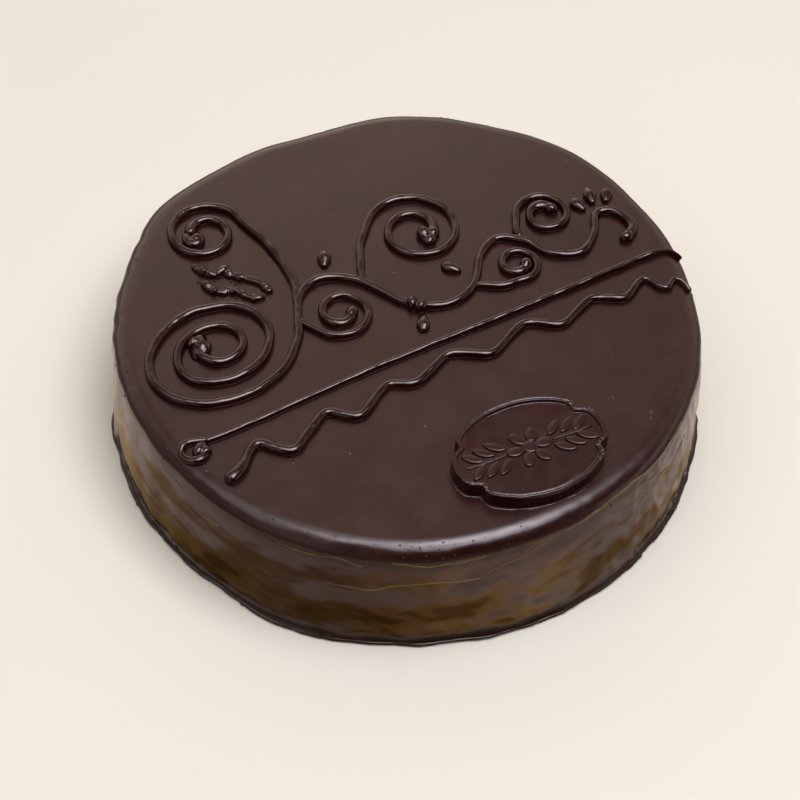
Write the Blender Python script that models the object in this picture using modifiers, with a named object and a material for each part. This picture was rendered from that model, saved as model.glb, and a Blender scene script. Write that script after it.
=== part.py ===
"""A sachertorte: a round glazed chocolate cake with piped chocolate lines and a moulded plaque.

Metres, +Z up. The origin is the middle of the flat base, +X is the right and +Y the back.
The piping is laid out in its own plan axes, "along" and "across", turned with the ruled line.
"""

import math

import bmesh
import bpy
from mathutils import Vector

# glazed cake
CAKE_HEIGHT = 0.0510
TOP_RADIUS = 0.1062
BASE_RADIUS = 0.1092
SHOULDER_RADIUS = 0.0068
SHOULDER_SWEEP = math.radians(84)
SHOULDER_STEPS = 6
FOOT_HEIGHT = 0.0045
FOOT_SPREAD = 0.0012
FOOT_ROUNDING = 0.0012
FOOT_UNDERCUT = 0.0007
TOP_RINGS = (0.6, 0.88)
SIDE_RINGS = (0.3, 0.65, 1.0)
FOOT_WAVES = ((7, 0.0004, 0.6), (11, 0.0003, 2.1), (18, 0.0002, 4.0))
TURN_STEPS = 112

# bulges (+) and flats (-) of a cake glazed by hand: bearing, half width and rise
FOOT_FALL_OFF = 3
SHOULDER_FALL_OFF = 0.5
STILL_MIDDLE = 0.6
SHOULDER_BULGES = (
    (114, 13, -0.0043),
    (134, 12, -0.0019),
    (154, 9, 0.0020),
    (168, 10, -0.0006),
    (88, 14, 0.0005),
    (56, 14, 0.0025),
    (12, 10, -0.0008),
    (-50, 18, 0.0006),
    (-84, 15, 0.0014),
    (-112, 28, 0.0026),
    (-135, 16, -0.0006),
)
FOOT_BULGES = (
    (-112, 12, 0.0026),
    (-112, 28, -0.0013),
    (-84, 15, -0.0007),
    (-85, 30, 0.0016),
    (-56, 12, 0.0012),
    (-20, 14, 0.0016),
    (170, 20, 0.0006),
)

# piping
BEAD_WIDTH = 0.0032
BEAD_HEIGHT = 0.0024
BEAD_SIDES = 5
BEAD_FULLNESS = 0.8
BEAD_STEP = 0.0036
PIPING_TURN = math.radians(33.5)
GAP = 0.0003
BRANCH_CLEARANCE = 0.0030
TIP_SWELL = 0.55
SPIRAL_POINTS = 12

# relative widths of a bead at the points counted from its start, or from its end if negative
FADING_END = {-4: 0.85, -3: 0.8, -2: 0.7, -1: 0.45}
RULE_SWELLS = {0: TIP_SWELL, 1: 1.2, **FADING_END}
WAVE_SWELLS = {0: TIP_SWELL, 1: 1.35, 2: 1.15, **FADING_END}
VINE_SWELLS = {0: TIP_SWELL, 1: 1.45, 2: 1.5, -3: 1.35, -2: 1.45, -1: TIP_SWELL}
SCROLL_SWELLS = {0: TIP_SWELL, -3: 1.4, -1: TIP_SWELL}

# ruled line: a hooked knot at its left end, then straight, then over the shoulder
RULE_WIDTH = 0.85
RULE_HOOK = ((-0.0952, -0.0218), (-0.0984, -0.0226), (-0.1009, -0.0206))
RULE_KNOT = ((-0.1013, -0.0173), (-0.0992, -0.0150), (-0.0960, -0.0153), (-0.0925, -0.0172))
RULE_RUN = ((-0.0789, -0.0178), (-0.0308, -0.0176), (0.0017, -0.0185), (0.0265, -0.0195))
RULE_FALL = ((0.0521, -0.0202), (0.0760, -0.0207), (0.0872, -0.0209), (0.0956, -0.0219))
RULE_END = ((0.0988, -0.0233), (0.1018, -0.0270))
RULE_PARTS = 4

# waved line: its start, then the crest, fall, trough and rise of each wave, and its end
WAVE_STEP = 0.0029
WAVE_START = ((-0.0946, -0.0359), (-0.0898, -0.0348), (-0.0849, -0.0319))
WAVES = (
    ((-0.0775, -0.0268), (-0.0732, -0.0321), (-0.0680, -0.0364), (-0.0616, -0.0328)),
    ((-0.0505, -0.0269), (-0.0464, -0.0302), (-0.0415, -0.0347), (-0.0372, -0.0330)),
    ((-0.0258, -0.0269), (-0.0213, -0.0289), (-0.0160, -0.0316), (-0.0090, -0.0290)),
    ((-0.0005, -0.0258), (0.0060, -0.0280), (0.0130, -0.0331), (0.0182, -0.0321)),
    ((0.0310, -0.0267), (0.0384, -0.0309), (0.0440, -0.0344), (0.0526, -0.0311)),
    ((0.0600, -0.0288), (0.0662, -0.0325), (0.0705, -0.0351), (0.0784, -0.0314)),
    ((0.0830, -0.0303), (0.0850, -0.0350), (0.0880, -0.0367), (0.0912, -0.0363)),
)
WAVE_END = ((0.0934, -0.0380), (0.0938, -0.0428))

# running vine: a large scroll at the left, then a stem that waves to the right
SCROLL_CENTRE = (-0.0687, 0.0173)
SCROLL_OUTER = 0.0310
SCROLL_INNER = 0.0062
SCROLL_TURNS = 2.34
SCROLL_FLATNESS = 0.81
SCROLL_BEARING = -38
SCROLL_TILT = math.radians(13)
STEM_BENDS = (
    (-0.0385, 0.0160),
    (-0.0310, 0.0250),
    (-0.0200, 0.0285),
    (-0.0080, 0.0200),
    (0.0000, 0.0040),
    (0.0120, -0.0050),
    (0.0260, -0.0025),
    (0.0370, 0.0095),
    (0.0470, 0.0135),
    (0.0550, 0.0070),
    (0.0600, -0.0030),
    (0.0700, -0.0080),
    (0.0800, -0.0020),
    (0.0860, 0.0060),
    (0.0930, 0.0030),
    (0.0945, -0.0060),
    (0.0890, -0.0100),
)

# scrolls that branch off the stem: first points, then centre, radii, turns, bearing and end swell
BRANCHES = {
    "piped_scroll_upper": {
        "lead": ((-0.0360, 0.0185), (-0.0290, 0.0330), (-0.0280, 0.0520)),
        "centre": (-0.0455, 0.0695),
        "radii": (0.0155, 0.0050),
        "turns": 1.5,
        "bearing": -12,
        "sense": 1,
        "end": 1.8,
    },
    "piped_scroll_lower": {
        "lead": ((-0.0385, 0.0145),),
        "centre": (-0.0220, 0.0105),
        "radii": (0.0120, 0.0040),
        "turns": 1.35,
        "bearing": 195,
        "sense": 1,
        "end": 1.6,
    },
    "piped_scroll_top": {
        "lead": ((-0.0080, 0.0190), (0.0000, 0.0340)),
        "centre": (0.0230, 0.0320),
        "radii": (0.0190, 0.0055),
        "turns": 1.6,
        "bearing": 150,
        "sense": -1,
        "end": 1.9,
    },
    "piped_scroll_middle": {
        "lead": ((0.0270, -0.0020), (0.0350, -0.0075)),
        "centre": (0.0460, -0.0010),
        "radii": (0.0085, 0.0035),
        "turns": 1.2,
        "bearing": 240,
        "sense": 1,
        "end": 1.6,
    },
    "piped_scroll_right": {
        "lead": ((0.0545, 0.0090), (0.0555, 0.0140)),
        "centre": (0.0690, 0.0150),
        "radii": (0.0110, 0.0040),
        "turns": 1.4,
        "bearing": 165,
        "sense": -1,
        "end": 1.6,
    },
}

# ruffled strokes beside the scrolls: lengthways line, waves along it and their depth
RUFFLES = {
    "piped_ruffle_back": {"line": ((-0.0555, 0.0545), (-0.0475, 0.0475), (-0.0385, 0.0320)), "waves": 4},
    "piped_ruffle_front": {"line": ((-0.0572, 0.0450), (-0.0505, 0.0390), (-0.0435, 0.0315)), "waves": 3},
}
RUFFLE_DEPTH = 0.0012
RUFFLE_WIDTH = 1.15
RUFFLE_SWELL = 0.40
RUFFLE_STEP = 0.0022

# leaves, each a short drop of chocolate: foot, bearing and length
LEAVES = (
    (-0.0160, 0.0325, 60, 0.0090),
    (0.0035, -0.0050, 235, 0.0088),
    (0.0262, 0.0058, 120, 0.0085),
    (0.0925, 0.0090, 50, 0.0075),
    (0.0880, 0.0105, 72, 0.0095),
    (0.0835, 0.0090, 98, 0.0080),
)
LEAF_SWELLS = (0.5, 1.25, 1.7, 1.4, 0.5)

# plaque
PLAQUE_CENTRE = (0.0432, -0.0649)
PLAQUE_TURN = math.radians(27)
PLAQUE_HALF_LENGTH = 0.0284
PLAQUE_HALF_WIDTH = 0.0210
PLAQUE_THICKNESS = 0.0056
PLAQUE_NOTCH_BEARINGS = (28, 152, 208, 332)
PLAQUE_NOTCH_DEPTH = 0.09
PLAQUE_NOTCH_SPREAD = 7
PLAQUE_OUTLINE_STEPS = 64
RIM_WIDTH = 0.0022
FIELD_DEPTH = 0.0011

# relief on the plaque's field: a rosette between two leafy sprigs
ROSETTE_RADIUS = 0.0028
PETAL_COUNT = 6
PETAL_OFFSET = 0.0054
PETAL_SIZE = (0.0032, 0.0021)
SPRIG_LEAF_COUNT = 3
SPRIG_START = 0.0112
SPRIG_PITCH = 0.0046
SPRIG_SPREAD = 0.0046
SPRIG_LEAF_SIZE = (0.0040, 0.0017)
SPRIG_LEAF_TURN = math.radians(38)
RELIEF_HEIGHT = 0.0008


def clear_scene():
    for item in list(bpy.data.objects):
        bpy.data.objects.remove(item, do_unlink=True)


def new_collection(name):
    collection = bpy.data.collections.new(name)
    bpy.context.scene.collection.children.link(collection)
    return collection


def make_material(name, colour, roughness):
    material = bpy.data.materials.new(name)
    material.use_nodes = True
    shader = material.node_tree.nodes["Principled BSDF"]
    shader.inputs["Base Color"].default_value = (*colour, 1.0)
    shader.inputs["Roughness"].default_value = roughness
    shader.inputs["Metallic"].default_value = 0.0
    return material


def angle_between(bearing, middle):
    """Difference of two bearings in degrees, between -180 and 180."""
    return (bearing - middle + 180) % 360 - 180


def swelling(bearing, bulges):
    """How far out the side stands at a bearing, from the listed bulges."""
    shift = 0.0
    for middle, width, rise in bulges:
        shift += rise * math.exp(-((angle_between(bearing, middle) / width) ** 2))
    return shift


def shoulder_shift(bearing):
    return swelling(bearing, SHOULDER_BULGES)


def foot_shift(bearing):
    """How far out the foot stands: its own bulges and the small waves of pooled glaze."""
    turn = math.radians(bearing)
    waves = sum(rise * math.sin(count * turn + phase) for count, rise, phase in FOOT_WAVES)
    return swelling(bearing, FOOT_BULGES) + waves


def cake_outline():
    """Half section of the cake as (distance out, height), over the top and down the side."""
    flat = TOP_RADIUS - SHOULDER_RADIUS
    points = [(0.0, CAKE_HEIGHT)] + [(flat * ring, CAKE_HEIGHT) for ring in TOP_RINGS]
    for step in range(SHOULDER_STEPS + 1):
        sweep = SHOULDER_SWEEP * step / SHOULDER_STEPS
        out = flat + SHOULDER_RADIUS * math.sin(sweep)
        points.append((out, CAKE_HEIGHT - SHOULDER_RADIUS * (1 - math.cos(sweep))))
    brow_out, brow_height = points[-1]
    side_end = BASE_RADIUS - FOOT_SPREAD
    for part in SIDE_RINGS:
        out = brow_out + (side_end - brow_out) * part
        points.append((out, brow_height + (FOOT_HEIGHT - brow_height) * part))
    points.append((BASE_RADIUS, FOOT_ROUNDING))
    points.append((BASE_RADIUS - FOOT_UNDERCUT, 0.0))
    points.append((0.0, 0.0))
    return points


def build_cake(collection, material):
    """Turned section, then pushed out and in along its bulges."""
    mesh = bpy.data.meshes.new("glazed_cake")
    points = [(out, 0.0, height) for out, height in cake_outline()]
    edges = [(index, index + 1) for index in range(len(points) - 1)]
    mesh.from_pydata(points, edges, [])
    turned = bpy.data.objects.new("turned_section", mesh)
    collection.objects.link(turned)
    screw = turned.modifiers.new("Screw", "SCREW")
    screw.steps = TURN_STEPS
    screw.render_steps = TURN_STEPS
    screw.use_merge_vertices = True
    screw.merge_threshold = 0.00001
    bpy.context.view_layer.update()
    evaluated = turned.evaluated_get(bpy.context.evaluated_depsgraph_get())
    shaped = bpy.data.meshes.new_from_object(evaluated)
    bpy.data.objects.remove(turned)
    for vertex in shaped.vertices:
        push_vertex(vertex)
    shaped.shade_smooth()
    shaped.set_sharp_from_angle(angle=math.radians(40))
    cake = bpy.data.objects.new("glazed_cake", shaped)
    cake.data.materials.append(material)
    collection.objects.link(cake)
    return cake


def push_vertex(vertex):
    """Moves one point of the turned cake out or in, the rim fully and the middle of the top not at all."""
    out = math.hypot(vertex.co.x, vertex.co.y)
    flat = TOP_RADIUS - SHOULDER_RADIUS
    weight = max(0.0, min(1.0, (out / flat - STILL_MIDDLE) / (1 - STILL_MIDDLE)))
    if weight == 0.0:
        return
    bearing = math.degrees(math.atan2(vertex.co.y, vertex.co.x))
    low = 1 - vertex.co.z / CAKE_HEIGHT
    shift = shoulder_shift(bearing) * (1 - SHOULDER_FALL_OFF * low) + foot_shift(bearing) * low**FOOT_FALL_OFF
    vertex.co.x *= 1 + weight * shift / out
    vertex.co.y *= 1 + weight * shift / out


def hang_on_centre(cake, collections):
    """Parents all pieces and cutters to an empty that brings the middle of the cake's box to the origin."""
    centre = bpy.data.objects.new("cake_centre", None)
    collections[0].objects.link(centre)
    for collection in collections:
        for item in collection.objects:
            if item is not centre:
                item.parent = centre
    for axis in (0, 1):
        places = [vertex.co[axis] for vertex in cake.data.vertices]
        centre.location[axis] = -(min(places) + max(places)) / 2


def in_plan(point):
    """Turns (along, across) of the piping into the cake's x and y."""
    along, across = point
    x = along * math.cos(PIPING_TURN) - across * math.sin(PIPING_TURN)
    y = along * math.sin(PIPING_TURN) + across * math.cos(PIPING_TURN)
    return x, y


def laid_on_glaze(point):
    """A plan point laid on the glaze with the gap below it, over the shoulder where it reaches so far.

    Returns the place and the glaze's upward normal there."""
    x, y = in_plan(point)
    out = math.hypot(x, y)
    bearing = math.atan2(y, x)
    edge = TOP_RADIUS - SHOULDER_RADIUS + shoulder_shift(math.degrees(bearing))
    sweep = max(0.0, (out - edge) / SHOULDER_RADIUS)
    outward = Vector((math.cos(bearing), math.sin(bearing), 0.0))
    upward = Vector((0.0, 0.0, 1.0))
    normal = outward * math.sin(sweep) + upward * math.cos(sweep)
    brow = outward * min(out, edge) + upward * (CAKE_HEIGHT - SHOULDER_RADIUS)
    return brow + normal * (SHOULDER_RADIUS + GAP), normal


def lean(along, normal):
    """Angle about the bead's own line that brings its section upright on the glaze."""
    upright = Vector((0.0, 0.0, 1.0))
    upright = (upright - upright.dot(along) * along).normalized()
    wanted = (normal - normal.dot(along) * along).normalized()
    return math.atan2(upright.cross(wanted).dot(along), upright.dot(wanted))


def smooth_through(points, parts=8):
    """Catmull-Rom curve through the points, in plan."""
    guide = [Vector(point) for point in points]
    guide.insert(0, 2 * guide[0] - guide[1])
    guide.append(2 * guide[-1] - guide[-2])
    path = []
    for index in range(1, len(guide) - 2):
        before, here, there, after = guide[index - 1 : index + 3]
        for part in range(parts):
            t = part / parts
            path.append(
                0.5
                * (
                    2 * here
                    + (there - before) * t
                    + (2 * before - 5 * here + 4 * there - after) * t**2
                    + (3 * here - before - 3 * there + after) * t**3
                )
            )
    path.append(guide[-2])
    return path


def even_steps(path, step):
    """The same path with its points an even distance apart."""
    lengths = [0.0]
    for here, there in zip(path, path[1:]):
        lengths.append(lengths[-1] + (there - here).length)
    count = max(2, round(lengths[-1] / step))
    result = []
    index = 0
    for number in range(count + 1):
        target = lengths[-1] * number / count
        while index < len(path) - 2 and lengths[index + 1] < target:
            index += 1
        span = lengths[index + 1] - lengths[index]
        result.append(path[index].lerp(path[index + 1], (target - lengths[index]) / span))
    return result


def spiral(centre, radii, turns, bearing, sense, flatness=1.0, tilt=0.0):
    """Points of a flat spiral from its outer end to its inner end, in plan."""
    count = round(turns * SPIRAL_POINTS)
    points = []
    for number in range(count + 1):
        part = number / count
        radius = radii[0] + (radii[1] - radii[0]) * part
        turn = math.radians(bearing) + sense * 2 * math.pi * turns * part
        a = radius * math.cos(turn)
        b = radius * flatness * math.sin(turn)
        along = centre[0] + a * math.cos(tilt) - b * math.sin(tilt)
        across = centre[1] + a * math.sin(tilt) + b * math.cos(tilt)
        points.append((along, across))
    return points


def clear_of(path, other):
    """The path without the points that come too close to another line."""
    return [point for point in path if min((point - mark).length for mark in other) > BRANCH_CLEARANCE]


def bead_section(guides):
    """Half-round section of a piped bead with a flat underside, kept as a guide."""
    data = bpy.data.curves.new("bead_section", "CURVE")
    data.dimensions = "2D"
    line = data.splines.new("POLY")
    line.points.add(BEAD_SIDES)
    for index, point in enumerate(line.points):
        turn = math.pi * (1 - index / BEAD_SIDES)
        side = math.copysign(abs(math.cos(turn)) ** BEAD_FULLNESS, math.cos(turn))
        rise = math.sin(turn) ** BEAD_FULLNESS
        point.co = (side * BEAD_WIDTH / 2, rise * BEAD_HEIGHT, 0.0, 1.0)
    line.use_cyclic_u = True
    section = bpy.data.objects.new("bead_section", data)
    section.hide_render = True
    section.display_type = "WIRE"
    guides.objects.link(section)
    return section


def pipe(name, path, swells, section, collection, material, usual=1.0):
    """One piped bead laid on the glaze, of the usual relative width except at the swells."""
    data = bpy.data.curves.new(name, "CURVE")
    data.dimensions = "3D"
    data.twist_mode = "Z_UP"
    data.bevel_mode = "OBJECT"
    data.bevel_object = section
    data.use_fill_caps = True
    line = data.splines.new("POLY")
    line.points.add(len(path) - 1)
    laid = [laid_on_glaze(spot) for spot in path]
    for index, (point, (place, normal)) in enumerate(zip(line.points, laid)):
        before = laid[max(index - 1, 0)][0]
        after = laid[min(index + 1, len(laid) - 1)][0]
        point.co = (*place, 1.0)
        point.tilt = lean((after - before).normalized(), normal)
        point.radius = swells.get(index, swells.get(index - len(path), usual))
    bead = bpy.data.objects.new(name, data)
    bead.data.materials.append(material)
    collection.objects.link(bead)
    return bead


def build_vine(section, collection, material):
    """The large scroll with its stem, and the smaller scrolls that branch off it."""
    radii = (SCROLL_OUTER, SCROLL_INNER)
    large = spiral(SCROLL_CENTRE, radii, SCROLL_TURNS, SCROLL_BEARING, -1, SCROLL_FLATNESS, SCROLL_TILT)
    stem = even_steps(smooth_through(large[::-1] + list(STEM_BENDS)), BEAD_STEP)
    pipe("piped_vine", stem, VINE_SWELLS, section, collection, material)
    for name, branch in BRANCHES.items():
        curl = spiral(branch["centre"], branch["radii"], branch["turns"], branch["bearing"], branch["sense"])
        path = even_steps(clear_of(smooth_through(list(branch["lead"]) + curl), stem), BEAD_STEP)
        swells = {**SCROLL_SWELLS, -2: branch["end"]}
        pipe(name, path, swells, section, collection, material)


def build_ruffles(section, collection, material):
    """Short strokes shaken from side to side, thick where they turn."""
    for name, ruffle in RUFFLES.items():
        line = even_steps(smooth_through(ruffle["line"]), RUFFLE_STEP)
        path = []
        swells = {}
        for index, spot in enumerate(line):
            phase = 2 * math.pi * ruffle["waves"] * index / (len(line) - 1)
            ahead = line[min(index + 1, len(line) - 1)] - line[max(index - 1, 0)]
            aside = Vector((-ahead.y, ahead.x)).normalized()
            path.append(spot + aside * RUFFLE_DEPTH * math.sin(phase))
            swells[index] = RUFFLE_WIDTH + RUFFLE_SWELL * math.cos(2 * phase)
        swells[0] = swells[len(line) - 1] = TIP_SWELL
        pipe(name, path, swells, section, collection, material)


def build_leaves(section, collection, material):
    """Drops of chocolate beside the stem."""
    for number, (along, across, bearing, length) in enumerate(LEAVES, start=1):
        turn = math.radians(bearing)
        ahead = Vector((math.cos(turn), math.sin(turn))) * length / (len(LEAF_SWELLS) - 1)
        path = [Vector((along, across)) + ahead * index for index in range(len(LEAF_SWELLS))]
        pipe(f"piped_leaf_{number}", path, dict(enumerate(LEAF_SWELLS)), section, collection, material)


def build_lines(section, collection, material):
    """The ruled line and the waved line in front of it."""
    rule = smooth_through(RULE_HOOK + RULE_KNOT + RULE_RUN + RULE_FALL + RULE_END, RULE_PARTS)
    pipe("piped_rule", rule, RULE_SWELLS, section, collection, material, RULE_WIDTH)
    bends = [bend for wave in WAVES for bend in wave]
    wave = even_steps(smooth_through([*WAVE_START, *bends, *WAVE_END]), WAVE_STEP)
    pipe("piped_wave", wave, WAVE_SWELLS, section, collection, material)


def plaque_outline(inset):
    """Oval with four small notches, drawn in by the inset all round."""
    points = []
    for step in range(PLAQUE_OUTLINE_STEPS):
        bearing = 360 * step / PLAQUE_OUTLINE_STEPS
        notch = sum(
            math.exp(-((angle_between(bearing, middle) / PLAQUE_NOTCH_SPREAD) ** 2))
            for middle in PLAQUE_NOTCH_BEARINGS
        )
        size = 1 - PLAQUE_NOTCH_DEPTH * notch
        turn = math.radians(bearing)
        x = (PLAQUE_HALF_LENGTH - inset) * size * math.cos(turn)
        y = (PLAQUE_HALF_WIDTH - inset) * size * math.sin(turn)
        points.append((x, y))
    return points


def plaque_slab(name, inset, thickness, height, collection):
    """Flat slab of the plaque's outline as a mesh, its underside at the height."""
    data = bpy.data.curves.new(name, "CURVE")
    data.dimensions = "2D"
    data.fill_mode = "BOTH"
    data.extrude = thickness / 2
    outline = plaque_outline(inset)
    line = data.splines.new("POLY")
    line.points.add(len(outline) - 1)
    for point, (x, y) in zip(line.points, outline):
        point.co = (x, y, 0.0, 1.0)
    line.use_cyclic_u = True
    flat = bpy.data.objects.new(name + "_flat", data)
    flat.location = (*PLAQUE_CENTRE, height + thickness / 2)
    flat.rotation_euler.z = PLAQUE_TURN
    collection.objects.link(flat)
    bpy.context.view_layer.update()
    mesh = bpy.data.meshes.new_from_object(flat.evaluated_get(bpy.context.evaluated_depsgraph_get()))
    shape = bmesh.new()
    shape.from_mesh(mesh)
    bmesh.ops.remove_doubles(shape, verts=shape.verts, dist=0.000001)
    bmesh.ops.transform(shape, matrix=flat.matrix_world, verts=shape.verts)
    shape.to_mesh(mesh)
    shape.free()
    bpy.data.objects.remove(flat)
    slab = bpy.data.objects.new(name, mesh)
    collection.objects.link(slab)
    return slab


def relief_dome(along, across, size, turn, collection):
    """Low dome of the relief: a flattened ball half sunk in the field, in the plaque's own plan."""
    bpy.ops.mesh.primitive_ico_sphere_add(subdivisions=2, radius=1.0)
    dome = bpy.context.object
    dome.name = "relief_dome"
    dome.scale = (*size, RELIEF_HEIGHT)
    dome.rotation_euler.z = turn + PLAQUE_TURN
    x = PLAQUE_CENTRE[0] + along * math.cos(PLAQUE_TURN) - across * math.sin(PLAQUE_TURN)
    y = PLAQUE_CENTRE[1] + along * math.sin(PLAQUE_TURN) + across * math.cos(PLAQUE_TURN)
    dome.location = (x, y, CAKE_HEIGHT + GAP + PLAQUE_THICKNESS - FIELD_DEPTH)
    dome.hide_render = True
    dome.display_type = "WIRE"
    for owner in dome.users_collection:
        owner.objects.unlink(dome)
    collection.objects.link(dome)


def build_relief(collection):
    """A rosette between two sprigs of paired leaves."""
    relief_dome(0.0, 0.0, (ROSETTE_RADIUS, ROSETTE_RADIUS), 0.0, collection)
    for number in range(PETAL_COUNT):
        turn = 2 * math.pi * number / PETAL_COUNT
        along = PETAL_OFFSET * math.cos(turn)
        across = PETAL_OFFSET * math.sin(turn)
        relief_dome(along, across, PETAL_SIZE, turn, collection)
    for way in (-1, 1):
        for number in range(SPRIG_LEAF_COUNT):
            along = way * (SPRIG_START + SPRIG_PITCH * number)
            for side in (-1, 1):
                spread = side * SPRIG_SPREAD * (1 - number / (2 * SPRIG_LEAF_COUNT))
                relief_dome(along, spread, SPRIG_LEAF_SIZE, way * side * SPRIG_LEAF_TURN, collection)


def build_plaque(collection, guides, relief, material):
    """Moulded plaque: a notched oval slab with a sunk field and low relief inside its raised rim."""
    underside = CAKE_HEIGHT + GAP
    plaque = plaque_slab("moulded_plaque", 0.0, PLAQUE_THICKNESS, underside, collection)
    floor = underside + PLAQUE_THICKNESS - FIELD_DEPTH
    field = plaque_slab("field_cutter", RIM_WIDTH, FIELD_DEPTH * 2, floor, guides)
    field.hide_render = True
    field.display_type = "WIRE"
    cut = plaque.modifiers.new("Field", "BOOLEAN")
    cut.operation = "DIFFERENCE"
    cut.object = field
    build_relief(relief)
    join = plaque.modifiers.new("Relief", "BOOLEAN")
    join.operation = "UNION"
    join.operand_type = "COLLECTION"
    join.collection = relief
    plaque.data.materials.append(material)


def main():
    clear_scene()
    cake_parts = new_collection("sachertorte")
    guides = new_collection("guides")
    relief = new_collection("relief")
    glaze = make_material("chocolate_glaze", (0.040, 0.018, 0.013), 0.28)
    piping = make_material("piped_chocolate", (0.042, 0.019, 0.014), 0.30)
    moulded = make_material("moulded_chocolate", (0.038, 0.016, 0.012), 0.36)
    cake = build_cake(cake_parts, glaze)
    section = bead_section(guides)
    build_lines(section, cake_parts, piping)
    build_vine(section, cake_parts, piping)
    build_ruffles(section, cake_parts, piping)
    build_leaves(section, cake_parts, piping)
    build_plaque(cake_parts, guides, relief, moulded)
    hang_on_centre(cake, (cake_parts, guides, relief))


main()
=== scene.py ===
"""Looks of the sachertorte: poured glaze, piped chocolate lines and a moulded plaque.

The routes and sizes are those of the CAD solids, in metres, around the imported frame.
"""

import math

import bmesh
import bpy
import numpy as np
from mathutils import Matrix, Vector


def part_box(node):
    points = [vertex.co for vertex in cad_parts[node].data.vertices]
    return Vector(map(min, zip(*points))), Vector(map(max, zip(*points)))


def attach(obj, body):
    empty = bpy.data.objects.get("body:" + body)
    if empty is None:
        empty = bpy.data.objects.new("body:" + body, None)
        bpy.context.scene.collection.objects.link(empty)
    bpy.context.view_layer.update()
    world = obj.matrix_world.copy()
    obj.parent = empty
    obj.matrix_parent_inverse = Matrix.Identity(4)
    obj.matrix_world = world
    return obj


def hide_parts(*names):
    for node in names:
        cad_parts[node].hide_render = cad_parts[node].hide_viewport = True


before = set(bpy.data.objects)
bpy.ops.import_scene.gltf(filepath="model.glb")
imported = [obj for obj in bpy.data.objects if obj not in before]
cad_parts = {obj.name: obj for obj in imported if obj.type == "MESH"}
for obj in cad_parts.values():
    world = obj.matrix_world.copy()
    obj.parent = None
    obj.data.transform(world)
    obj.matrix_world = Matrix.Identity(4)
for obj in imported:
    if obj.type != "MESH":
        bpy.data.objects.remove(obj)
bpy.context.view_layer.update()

# ---------------------------------------------------------------- sizes shared with the CAD solids

CAKE_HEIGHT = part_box("glazed_cake")[1].z
TOP_RADIUS = 0.1062
BASE_RADIUS = 0.1092
SHOULDER_FALL_OFF = 0.5
FOOT_FALL_OFF = 3
STILL_MIDDLE = 0.6
FOOT_WAVES = ((7, 0.0004, 0.6), (11, 0.0003, 2.1), (18, 0.0002, 4.0))
SHOULDER_BULGES = (
    (114, 13, -0.0043),
    (134, 12, -0.0019),
    (154, 9, 0.0020),
    (168, 10, -0.0006),
    (88, 14, 0.0005),
    (56, 14, 0.0025),
    (12, 10, -0.0008),
    (-50, 18, 0.0006),
    (-84, 15, 0.0014),
    (-112, 28, 0.0026),
    (-135, 16, -0.0006),
)
FOOT_BULGES = (
    (-112, 12, 0.0026),
    (-112, 28, -0.0013),
    (-84, 15, -0.0007),
    (-85, 30, 0.0016),
    (-56, 12, 0.0012),
    (-20, 14, 0.0016),
    (170, 20, 0.0006),
)

BEAD_WIDTH = 0.0032
BEAD_HEIGHT = 0.0024
PIPING_TURN = math.radians(33.5)
RULE_ROUTE = (
    (-0.0925, -0.0177),
    (-0.0789, -0.0183),
    (-0.0308, -0.0181),
    (0.0017, -0.0190),
    (0.0265, -0.0200),
    (0.0521, -0.0207),
    (0.0760, -0.0212),
    (0.0872, -0.0214),
    (0.0956, -0.0224),
    (0.0988, -0.0238),
    (0.1018, -0.0275),
)
RULE_LOOP = (
    (-0.0900, -0.0177),
    (-0.0935, -0.0163),
    (-0.0960, -0.0153),
    (-0.0990, -0.0150),
    (-0.1014, -0.0170),
    (-0.1013, -0.0197),
    (-0.1002, -0.0219),
    (-0.0981, -0.0233),
    (-0.0954, -0.0227),
    (-0.0940, -0.0205),
)
RULE_NICKS = ((-0.0741, 0.0010), (-0.0060, 0.0010), (-0.0036, 0.0008), (0.0790, 0.0009))
WAVE_START = ((-0.0946, -0.0364), (-0.0898, -0.0353), (-0.0849, -0.0324))
WAVES = (
    ((-0.0775, -0.0268), (-0.0732, -0.0321), (-0.0680, -0.0364), (-0.0616, -0.0328)),
    ((-0.0505, -0.0269), (-0.0464, -0.0302), (-0.0415, -0.0347), (-0.0372, -0.0330)),
    ((-0.0258, -0.0269), (-0.0213, -0.0289), (-0.0160, -0.0316), (-0.0090, -0.0290)),
    ((-0.0005, -0.0258), (0.0060, -0.0280), (0.0130, -0.0331), (0.0182, -0.0321)),
    ((0.0310, -0.0267), (0.0384, -0.0309), (0.0440, -0.0344), (0.0526, -0.0311)),
    ((0.0600, -0.0288), (0.0662, -0.0325), (0.0705, -0.0351), (0.0784, -0.0314)),
    ((0.0830, -0.0303), (0.0843, -0.0352), (0.0866, -0.0392), (0.0914, -0.0356)),
)
WAVE_END = ((0.0934, -0.0385), (0.0938, -0.0433))
SCROLL_CENTRE = (-0.0687, 0.0173)
SCROLL_OUTER = 0.0310
SCROLL_INNER = 0.0062
SCROLL_TURNS = 2.34
SCROLL_FLATNESS = 0.81
SCROLL_BEARING = -38
SCROLL_TILT = math.radians(13)
STEM_BENDS = (
    (-0.0368, 0.0152),
    (-0.0310, 0.0250),
    (-0.0200, 0.0285),
    (-0.0080, 0.0200),
    (0.0000, 0.0040),
    (0.0120, -0.0050),
    (0.0260, -0.0025),
    (0.0370, 0.0095),
    (0.0470, 0.0135),
    (0.0550, 0.0070),
    (0.0600, -0.0030),
    (0.0700, -0.0080),
    (0.0800, -0.0020),
    (0.0860, 0.0060),
    (0.0930, 0.0030),
    (0.0945, -0.0060),
    (0.0890, -0.0100),
)
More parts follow.
